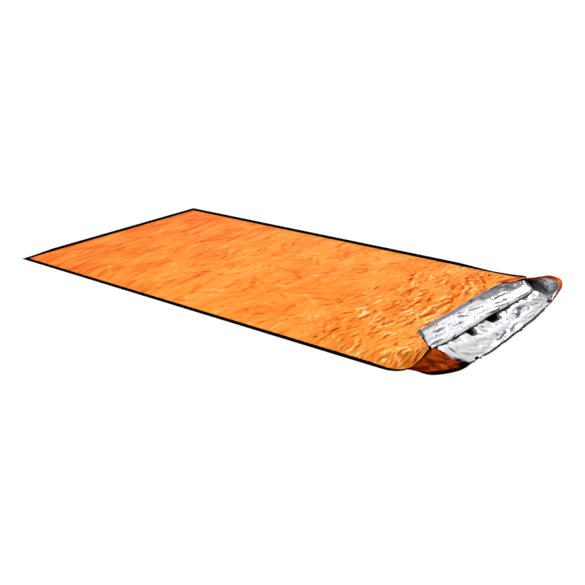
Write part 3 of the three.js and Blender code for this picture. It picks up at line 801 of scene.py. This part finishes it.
def cuffPoints(lastRow, across):
    read = {name: readCurve(cuff["across"], cuff[name], across)
            for name in ("radius", "foldShare", "foldZ", "hemX", "hemY", "hemZ")}
    radius = read["radius"][:, None]
    run, turn = rollAxes(across)
    hem = np.stack([read["hemX"], read["hemY"], read["hemZ"]], axis=1)
    inTape = len(tapeDepths) - 1
    for k in range(inTape):
        share = 1 - k / inTape
        hem[k] += (np.array(cuff["nearEnd"]) - hem[k]) * share
        hem[-1 - k] += (np.array(cuff["farEnd"]) - hem[-1 - k]) * share
    rows, steps = [], []
    for step in range(1, cuff["rollRows"] + 1):
        angle = math.pi * step / cuff["rollRows"]
        rows.append(lastRow + run * radius * math.sin(angle) + turn * radius * (1 - math.cos(angle)))
        steps.append(cuff["rollRun"] * angle)
    rolled = rows[-1]
    fold, foldZ = read["foldShare"], read["foldZ"]
    for share in np.linspace(0, 1, cuff["flatRows"] + 1)[1:]:
        row = rolled + (hem - rolled) * share
        before, after = share / fold, (share - fold) / (1 - fold)
        bent = np.where(share < fold, rolled[:, 2] + (foldZ - rolled[:, 2]) * before,
                        foldZ + (hem[:, 2] - foldZ) * np.clip(after, 0, 1) ** cuff["foldEase"])
        row[:, 2] = bent + cuff["hemFlick"] * smoothStep(cuff["flickStart"], 1, share)
        rows.append(row)
        steps.append(cuff["rollRun"] * math.pi + cuff["length"] * share)
    return np.array(rows), np.array(steps)


# The main creases, each measured back from the cuff, and the small ones strewn in patches.
def topCreases(mouth):
    creases = [(readRow(mouth, across) - behind, across, *rest)
               for behind, across, *rest in topFilm["creases"]]
    for patch in topFilm["patches"]:
        creases += strewCreases(patch)
    return creases


# The crumple over the whole film, calmed at the puffs, the roll, the tapes, the foot and the hem.
def topHeight(u, v, grid, inTape, folded, drawn):
    height = sum(crumple(u, v, layer) for layer in topFilm["layers"])
    bulgeX, bulgeY, spreadX, spreadY = topFilm["nearBulges"]
    height *= 1 - topFilm["bulgeCalm"] * np.exp(-((grid[:, :, 0] - bulgeX) / spreadX) ** 2
                                                - ((grid[:, :, 1] - bulgeY) / spreadY) ** 2)
    height[:len(folded)] += folded
    height += topFilm["creaseRise"] * drawn
    beside = (inTape - topFilm["puckerIn"]) / topFilm["puckerReach"]
    height += crumple(u, v, topFilm["pucker"]) * np.exp(-beside ** 2)[None, :]
    height *= smoothStep(*topFilm["tapeFade"], inTape)[None, :] * smoothStep(*topFilm["footFade"], u)
    pastMiddle = (u - (seamLength + topFilm["rollMiddle"])) / topFilm["rollReach"]
    height *= 1 - topFilm["rollCalm"] * np.exp(-pastMiddle ** 2)
    height[-topFilm["hemRows"]:] *= topFilm["hemShare"]
    return height


# Painted shade down in the crease, along the hem, in the strokes and the drawn troughs, and darker
# at the foot.
def topShade(u, grid, drawn):
    pastSeam = u - seamLength
    inCrease = smoothStep(-1, 2, pastSeam) * smoothStep(9, 5, pastSeam)
    inHem = smoothStep(cuff["hemWidth"], cuff["hemWidth"] - 2, u[-1, 0] - u)
    shade = np.maximum(np.maximum(inCrease, topFilm["hemShade"] * inHem),
                       paintShade(grid, topFilm["strokes"]))
    foot = topFilm["footShade"] * smoothStep(800, 250, u)
    return np.maximum(shade, np.maximum(-topFilm["troughShade"] * drawn, foot))


def makeTopFilm():
    rows, points, folded, across, v = topPoints()
    cuffGrid, steps = cuffPoints(points[-1], across)
    grid = np.concatenate([points, cuffGrid])
    inTape = np.minimum(v - v[0], v[-1] - v)
    u, v = np.meshgrid(np.concatenate([rows * seamLength, seamLength + steps]), v, indexing="ij")
    drawn = np.zeros(u.shape)
    drawn[:len(rows)] = drawCreases(points[:, :, 0], points[:, :, 1], topCreases(points[-1]))
    height = topHeight(u, v, grid, inTape, folded, drawn)
    grid = grid + surfaceNormals(grid) * height[:, :, None]
    low, heights = topFilm["lowest"], grid[:len(rows), :, 2]
    loose = (inTape > bag["finDepth"] + 1)[None, :] & (heights < 2 * low)
    heights[loose] = low + low * np.exp(heights[loose] / low - 2)
    marks = {"crumple": smoothStep(1100, 1500, u),
             "creasing": creasing(height, u, v) + topFilm["ridgePale"] * np.maximum(drawn, 0),
             "shade": topShade(u, grid, drawn)}
    piece = makeCloth("top_film", grid, u, v, bag["filmThickness"], [orange, silver], marks)
    return piece, grid, len(rows)


topPiece, topGrid, seamRowCount = makeTopFilm()

bottomFilm = {
    "rowPlaces": [0, 1300, 1500, 1600, 1790],
    "rowSpacing": [13, 12, 7, 4, 3.4],
    "wallSteps": 26,
    "middleColumns": 118,
    "crestAhead": 7,
    "crestReach": 46,
    "crestDrop": 3,
    "crestSpread": 0.6,
    "crestBack": 30,
    "crestEnds": (42, 106),
    "crestFade": 55,
    "pocketSlant": 0.35,
    "pocketDrop": 0.85,
    "pockets": [(-132, 32, 28), (34, 42, 32)],
    "folds": [
        (1840, -100, 82, 120, 14, 4, 0.6),
        (1850, 80, 97, 110, 12, -3, 0.6),
        (1868, 160, 86, 90, 12, 4, 0.6),
        (1824, 190, 75, 60, 12, 5, 0.5),
    ],
    "layers": [
        {"seed": 103, "heading": 96, "length": 110, "width": 30, "rise": 6, "keen": -0.5,
         "zone": (1640, 1740, 2100, 2200), "cover": 0.3},
        {"seed": 109, "heading": 70, "length": 54, "width": 18, "rise": 4.0, "keen": 0.8,
         "zone": (1640, 1740, 2100, 2200), "cover": 0.3},
        {"seed": 115, "heading": 120, "length": 34, "width": 13, "rise": 2.2, "keen": -0.8,
         "zone": (1640, 1740, 2100, 2200), "cover": 0.3},
    ],
    "rimReach": 75,
    "hemLength": 8,
    "farHem": 12,
    "hemRows": 9,
    "hemTurn": 140,
    "floorEdge": 10,
    # Where the film is loose: in from the tape, and along the bag.
    "looseIn": (20, 50),
    "looseAlong": (1640, 1740),
    "floorFade": (14, 4),
    "floorLift": 1.5,
    "foldCalm": (5, 34),
    # Where the mouth's edge stands up: by its height, and far enough across.
    "standingZ": (8, 22),
    "standingY": (225, 262),
    "strokes": [
        # Painted shade: black in the crevice inside the near lip, along the line where the lips meet the
        # floor, and in the far pleat.
        (8, 1.0, (1843, -355, 20), (1856, -346, 13)),
        (13, 1.0, (1856, -346, 13), (1872, -332, 6)),
        (11, 1.0, (1872, -332, 6), (1884, -326, 2)),
        (10, 1.0, (1730, -472, 2), (1752, -472, 2), (1783, -467, 2), (1815, -449, 2),
         (1845, -420, 2), (1866, -381, 2)),
        (8, 1.0, (1866, -381, 2), (1884, -341, 2)),
        (13, 1.0, (1806, 330, 28), (1826, 322, 26)),
        (8, 1.0, (1896, 356, 20), (1880, 296, 2)),
        (9, 1.0, (1882, -318, 3), (1890, -262, 3)),
        # Painted shade in the wrinkles down the near wall.
        (5, 0.4, (1796, -420, 26), (1838, -399, 24)),
        (5, 0.45, (1790, -441, 12), (1852, -391, 12)),
        (4, 0.35, (1812, -402, 42), (1836, -392, 30)),
        (7, 0.5, (1762, -458, 4), (1800, -440, 10)),
    ],
}


# The bottom film beside one seam: in the tape, over the crown of the lip and down to the floor.
def lipPoints(seam, rows):
    frames = seamFrames(seam, rows)
    before = (1 - rows) * seam["length"]
    read = {name: readCurve(seam["before"], seam[name], before)
            for name in ("foldAhead", "foldIn", "crownOut", "crownUp")}
    taped = np.stack([inSeam(frames, d, -filmOffset) for d in tapeDepths], axis=1)
    base = taped[:, -1]
    footDrop = (tapeHalf - filmOffset - floorLevel) * (1 - smoothStep(20.5, 60, frames["point"][:, 0]))
    level = floorLevel + footDrop
    inward = -seam["side"]
    fold = np.stack([frames["point"][:, 0] + read["foldAhead"],
                     frames["point"][:, 1] + inward * read["foldIn"], level], axis=1)
    crest = inSeam(frames, bag["finDepth"] + bag["tapeRunOff"], -filmOffset - read["crownOut"])
    crest[:, 2] = np.maximum(crest[:, 2] + read["crownUp"], level)
    floor = fold + [0, inward * bag["floorRunOut"], 0]
    t = np.linspace(0, 1, bottomFilm["wallSteps"] + 1)[1:][None, :, None]
    wall = ((1 - t) ** 3 * base[:, None] + 3 * (1 - t) ** 2 * t * crest[:, None]
            + 3 * (1 - t) * t ** 2 * fold[:, None] + t ** 3 * floor[:, None])
    return np.concatenate([taped, wall], axis=1)


# The floor film stands up in a soft crest in front of the roll, all but touching it, with two
# places where it drops away into a pocket. It also returns painted shade, black in the pockets
# and under the roll.
def mouthCrest(x, y, inFromFold, beforeEdge):
    crease = topGrid[seamRowCount - 1]
    ahead = x - readRow(crease, y) - bottomFilm["crestAhead"]
    tall = readRow(crease, y, 2) - bottomFilm["crestDrop"]
    reach = bottomFilm["crestReach"] + bottomFilm["crestSpread"] * tall
    back = bottomFilm["crestBack"]
    shape = np.where(ahead > 0, np.exp(-(ahead / reach) ** 2), np.exp(-(ahead / back) ** 2))
    pocket = np.zeros(x.shape)
    for middle, half, depth in bottomFilm["pockets"]:
        beside = np.abs(y - middle + bottomFilm["pocketSlant"] * ahead) / half
        pocket = np.maximum(pocket, smoothStep(1, 0.6, beside) * smoothStep(depth, depth * 0.6, ahead))
    tall = tall * (1 - bottomFilm["pocketDrop"] * pocket)
    height = tall * shape * smoothStep(*bottomFilm["crestEnds"], inFromFold)
    height *= smoothStep(0, bottomFilm["crestFade"], beforeEdge)
    return height, np.maximum(pocket, smoothStep(-3, -7, ahead)) * smoothStep(-90, -60, ahead)


# The last rows of a lip are drawn on to its free edge, columns running from the tape to the floor.
def shapeRim(grid, columns, rim, rows):
    edge = grid[-1, columns]
    points = np.concatenate([edge[:1], rim, edge[-1:]])
    along = np.concatenate([[0], np.cumsum(np.linalg.norm(np.diff(points, axis=0), axis=1))])
    at = np.linspace(0, along[-1], len(columns))
    target = np.stack([readCurve(along, points[:, k], at) for k in range(3)], axis=1)
    fade = smoothStep(seamLength - bottomFilm["rimReach"], seamLength, rows * seamLength) ** 1.5
    grid[:, columns] += fade[:, None, None] * (target - edge)


# The mouth's hem curls over towards the silver side up on the lips, and turns down on the floor.
def turnedHem(grid, standing, reach):
    run = unit(grid[-1] - grid[-3])
    normal = surfaceNormals(grid[-4:])[-1]
    x, y, z = grid[-1].T
    lip = bottomFilm["hemLength"] * (0.4 + 0.6 * smoothStep(0, 40, z) + 0.5 * smoothStep(280, 320, y))
    lip += np.where(y > 0, bottomFilm["farHem"] * smoothStep(1840, 1872, x) * smoothStep(30, 50, z), 0)
    length = (bottomFilm["floorEdge"] + (lip - bottomFilm["floorEdge"]) * standing) * reach
    turn = np.radians(-90 + (bottomFilm["hemTurn"] + 90) * standing)
    turn = np.where(np.abs(turn) < 0.05, 0.05, turn)
    rows = []
    for share in np.linspace(0, 1, bottomFilm["hemRows"] + 1)[1:]:
        ahead = (length * np.sin(turn * share) / turn)[:, None]
        aside = (length * (1 - np.cos(turn * share)) / turn)[:, None]
        rows.append(grid[-1] + run * ahead + normal * aside)
    return np.array(rows)


# Painted light and shade on the curled rim: bright where it faces the light, and deep in shade along
# its top and down by the floor.
def rimLightAndShade(edge):
    x, y, z = edge[:, 0], edge[:, 1], edge[:, 2]
    far = smoothStep(1846, 1864, x) * smoothStep(16, 40, z) * 0.13 - 0.08
    return np.where(y < 0, -0.01, far)


def makeBottomFilm():
    rows = spacedRows(bottomFilm["rowPlaces"], bottomFilm["rowSpacing"])
    near = lipPoints(nearSeam, rows)
    far = lipPoints(farSeam, rows)[:, ::-1]
    across = np.linspace(0, 1, bottomFilm["middleColumns"] + 2)[1:-1]
    floor = near[:, -1:] + (far[:, :1] - near[:, -1:]) * across[None, :, None]
    bow = bag["mouthBow"] * smoothStep(bag["mouthBowStart"], 1, rows)
    floor[:, :, 0] += bow[:, None] * 4 * (across * (1 - across))[None, :]
    grid = np.concatenate([near, floor, far], axis=1)
    taped, lipEnd = len(tapeDepths), near.shape[1]
    shapeRim(grid, np.arange(taped - 1, lipEnd), nearSeam["rim"], rows)
    shapeRim(grid, np.arange(-taped, -lipEnd - 1, -1), farSeam["rim"], rows)
    steps = np.linalg.norm(np.diff(grid, axis=1), axis=2)
    v = np.concatenate([np.zeros((len(rows), 1)), np.cumsum(steps, axis=1)], axis=1)
    v -= v[:, v.shape[1] // 2][:, None]
    u = np.broadcast_to(rows[:, None] * seamLength, v.shape)
    inTape = np.minimum(v - v[:, :1], v[:, -1:] - v)
    foldColumn = lipEnd - 8
    inFromFold = np.minimum(v - v[:, foldColumn][:, None], v[:, -1 - foldColumn][:, None] - v)
    height = sum(crumple(u, v, layer) for layer in bottomFilm["layers"])
    pressFolds(height, grid[:, :, 0], grid[:, :, 1], bottomFilm["folds"])
    loose = smoothStep(*bottomFilm["looseIn"], inTape) * smoothStep(*bottomFilm["looseAlong"], u)
    onFloor = smoothStep(*bottomFilm["floorFade"], grid[:, :, 2])
    lifted = np.maximum(height + bottomFilm["floorLift"], 0)
    height = (height * (1 - onFloor) + lifted * onFloor) * loose
    height *= smoothStep(*bottomFilm["foldCalm"], np.abs(inFromFold))
    beforeEdge = seamLength - u
    crest, pocket = mouthCrest(grid[:, :, 0], grid[:, :, 1], inFromFold, beforeEdge)
    grid[:, :, 2] += crest * loose
    creased = creasing(height, u, v)
    grid = grid + surfaceNormals(grid) * height[:, :, None]
    standing = np.maximum(smoothStep(*bottomFilm["standingZ"], grid[-1, :, 2]),
                          smoothStep(*bottomFilm["standingY"], grid[-1, :, 1]))
    grid[-6:, :, 2] += (0.7 * bottomFilm["floorEdge"] * (1 - standing)
                        * smoothStep(0, 1, np.linspace(0.2, 1, 6))[:, None])
    hem = turnedHem(grid, standing, smoothStep(8, 26, inTape[-1]))
    added = np.ones((len(hem), 1))
    # Painted shade: black in the pockets and strokes, and along the floor's turned-down hem as the shadow
    # line under the mouth's edge.
    shade = np.maximum(pocket * loose, paintShade(grid, bottomFilm["strokes"]))
    shade[-3:] = np.maximum(shade[-3:], 1 - standing)
    grid = np.concatenate([grid, hem])
    grid[:, :, 2] = np.maximum(grid[:, :, 2], floorLevel)
    marks = {"crumple": np.concatenate([smoothStep(1600, 1750, u), added + 0 * standing]),
             "creasing": np.concatenate([creased, added * rimLightAndShade(grid[-1 - len(hem)])]),
             "shade": np.concatenate([shade, added * (1 - standing)])}
    u = np.concatenate([u, u[-1] + np.cumsum(2 * added, axis=0)])
    v = np.concatenate([v, added * v[-1]])
    return makeCloth("bottom_film", grid, u, v, bag["filmThickness"], [silver, shadedUnderOrange], marks)


bottomPiece = makeBottomFilm()


# The tape's middle line round the edge it binds: depth in from its outer edge, and how high it is
# to one side as a share of its half thickness.
def tapeSection():
    leg = [(bag["tapeWidth"], 1.0), (13, 1.0), (9, 1.0), (5, 1.0)]
    turns = np.radians(np.linspace(90, 270, 7))
    bend = [(1 + math.cos(a), math.sin(a)) for a in turns]
    half = (slotHalf + tapeHalf) / 2
    points = leg + [(half * a, b) for a, b in bend] + [(d, -h) for d, h in leg[::-1]]
    return np.array(points)


tapeLine = tapeSection()
tapeMiddle = (slotHalf + tapeHalf) / 2
cuffTapeMiddle = bag["filmThickness"] / 2 + bag["gap"] + bag["tapeThickness"] / 2
tapeAround = np.concatenate([[0], np.cumsum(np.hypot(*np.diff(tapeLine * [1, tapeMiddle], axis=0).T))])


# The side tape runs the length of the seam, then on round the roll with the top film alone, and
# back along the end of the cuff to its hem.
def sideTape(name, seam):
    rows = np.linspace(0, 1, 300)
    rows = np.concatenate([[0], rows[rows * seam["length"] > bag["finDepth"] + 1]])
    frames = seamFrames(seam, rows)
    sections = np.stack([inSeam(frames, d + 0.3, h * tapeMiddle) for d, h in tapeLine], axis=1)
    sections[0, :, 0] = tapeLine[:, 0] + 0.5
    columns = slice(0, 6) if seam["side"] < 0 else slice(-1, -7, -1)
    film = topGrid[seamRowCount:, columns]
    edge = film[:, 0]
    inward = unit(film[:, 4] - edge)
    forward = unit(np.gradient(edge, axis=0))
    over = unit(np.cross(forward, inward)) * -seam["side"]
    share = smoothStep(0, 5, np.arange(len(film)))[:, None]
    wide = np.interp(np.arange(len(film)), [0, 6, len(film) - 14, len(film) - 10, len(film)],
                     [frames["wide"][-1, 0], *seam["cuffTapeShare"][:2], *[seam["cuffTapeShare"][2]] * 2])
    wide = wide[:, None]
    middle = tapeMiddle + (cuffTapeMiddle - tapeMiddle) * share
    shift = -filmOffset * (1 - share)
    turned = np.stack([edge + inward * (gathered(d, wide) - 0.6) + over * (shift + h * middle)
                       for d, h in tapeLine], axis=1)
    sections = np.concatenate([sections, turned])
    along = np.concatenate([[0], np.cumsum(np.linalg.norm(np.diff(sections[:, 7], axis=0), axis=1))])
    if seam["side"] < 0:
        sections = sections[:, ::-1]
    u, v = np.meshgrid(along, tapeAround, indexing="ij")
    # Painted sheen on the near tape's turned-back end.
    sheen = np.zeros(u.shape)
    if seam["side"] < 0:
        sheen[-11:] = 1
    return makeCloth(name, sections, u, v, bag["tapeThickness"], [tapeBlack], {"sheen": sheen})


def footTape(name):
    y = np.linspace(-1, 1, 160)[:, None] * (bag["width"] / 2 - tapeLine[None, :, 0] - 0.5)
    x = np.broadcast_to(tapeLine[None, :, 0] + 0.3, y.shape)
    z = np.broadcast_to(tapeHalf + tapeLine[None, :, 1] * tapeMiddle, y.shape)
    sections = np.stack([x, y, z], axis=2)
    u, v = np.meshgrid(y[:, 0], tapeAround, indexing="ij")
    return makeCloth(name, sections, u, v, bag["tapeThickness"], [tapeBlack], {})


nearTapePiece = sideTape("near_side_tape", nearSeam)
farTapePiece = sideTape("far_side_tape", farSeam)
footTapePiece = footTape("foot_tape")

for piece, node, slot in [
    (topPiece, "top_sheet", "outer_film"),
    (bottomPiece, "bottom_sheet", "inner_film"),
    (nearTapePiece, "side_binding_near", "binding_tape"),
    (farTapePiece, "side_binding_far", "binding_tape"),
    (footTapePiece, "foot_binding", "binding_tape"),
]:
    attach(piece, "root")
    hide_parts(node)


view = {"azimuth": 36.92, "elevation": 20.44, "distance": 2.844, "lens": 48.66,
        "target": (0.157, -0.152, 0)}


def makeCamera():
    data = bpy.data.cameras.new("camera")
    camera = bpy.data.objects.new("camera", data)
    bpy.context.collection.objects.link(camera)
    azimuth, elevation = math.radians(view["azimuth"]), math.radians(view["elevation"])
    back = (math.sin(azimuth) * math.cos(elevation), -math.cos(azimuth) * math.cos(elevation),
            math.sin(elevation))
    camera.location = [t + view["distance"] * b for t, b in zip(view["target"], back)]
    camera.rotation_euler = (math.pi / 2 - elevation, 0, azimuth)
    data.lens = view["lens"]
    data.sensor_width = 36
    data.clip_start = 0.05
    data.clip_end = 3000
    bpy.context.scene.camera = camera


# The studio: a bright band low behind the bag, two suns above it, and darker walls elsewhere.
# Elevations are in degrees, and strengths are what the floor's white is measured in.
studio = {
    "behind": [(-90, 0.9), (4, 0.95), (26, 1.0), (35, 0.75), (46, 0.45), (90, 0.24)],
    "front": [(-90, 0.9), (0, 0.95), (18, 0.85), (38, 0.6), (60, 0.4), (90, 0.28)],
    "suns": [(36, 38, 4.35, 14), (44, -8, 0.7, 6)],  # elevation, turn from behind, strength, size
    "floorSize": 1600,
}


def makeWorld():
    world = bpy.data.worlds.new("studio")
    bpy.context.scene.world = world
    world.use_nodes = True
    tree = world.node_tree
    tree.nodes.clear()
    direction = addNode(tree, "ShaderNodeTexCoord").outputs["Generated"]
    parts = addNode(tree, "ShaderNodeSeparateXYZ", {0: direction})
    elevation = addNode(tree, "ShaderNodeMath", {0: parts.outputs["Z"]}, operation="ARCSINE")
    share = addNode(tree, "ShaderNodeMapRange", {"Value": elevation.outputs[0], "From Min": -math.pi / 2,
                                                 "From Max": math.pi / 2})
    walls = []
    for name in ("front", "behind"):
        wall = addNode(tree, "ShaderNodeValToRGB", {"Fac": share.outputs[0]})
        setRamp(wall, [(e / 180 + 0.5, (s, s, s, 1)) for e, s in studio[name]])
        walls.append(wall.outputs["Color"])
    turn = math.radians(view["azimuth"])
    away = addNode(tree, "ShaderNodeVectorMath", {0: direction, 1: (-math.sin(turn), math.cos(turn), 0)},
                   operation="DOT_PRODUCT")
    side = addNode(tree, "ShaderNodeMapRange", {"Value": away.outputs["Value"], "From Min": -0.15,
                                                "From Max": 0.35})
    walls = addNode(tree, "ShaderNodeMixRGB", {"Fac": side.outputs[0], "Color1": walls[0],
                                               "Color2": walls[1]})
    background = addNode(tree, "ShaderNodeBackground", {"Color": walls.outputs["Color"]})
    addNode(tree, "ShaderNodeOutputWorld", {"Surface": background.outputs[0]})


def makeFloor():
    deselectAll()
    bpy.ops.mesh.primitive_plane_add(size=studio["floorSize"])
    floor = bpy.context.object
    floor.name = "floor"
    material, _, shader = newMaterial("white studio paper")
    shader.inputs["Base Color"].default_value = hexColor("606060")
    shader.inputs["Emission Color"].default_value = (1, 1, 1, 1)
    shader.inputs["Emission Strength"].default_value = 0.93
    shader.inputs["Roughness"].default_value = 0.9
    shader.inputs["Specular IOR Level"].default_value = 0.0
    floor.data.materials.append(material)


def makeSuns():
    for elevation, turn, strength, size in studio["suns"]:
        data = bpy.data.lights.new("key", "SUN")
        data.energy = strength
        data.angle = math.radians(size)
        sun = bpy.data.objects.new("key", data)
        bpy.context.collection.objects.link(sun)
        heading = math.radians(view["azimuth"] + 180 + turn)
        sun.rotation_euler = (math.radians(90 - elevation), 0, heading)


makeWorld()
makeFloor()
makeSuns()
bpy.context.scene.view_settings.view_transform = "Standard"
makeCamera()
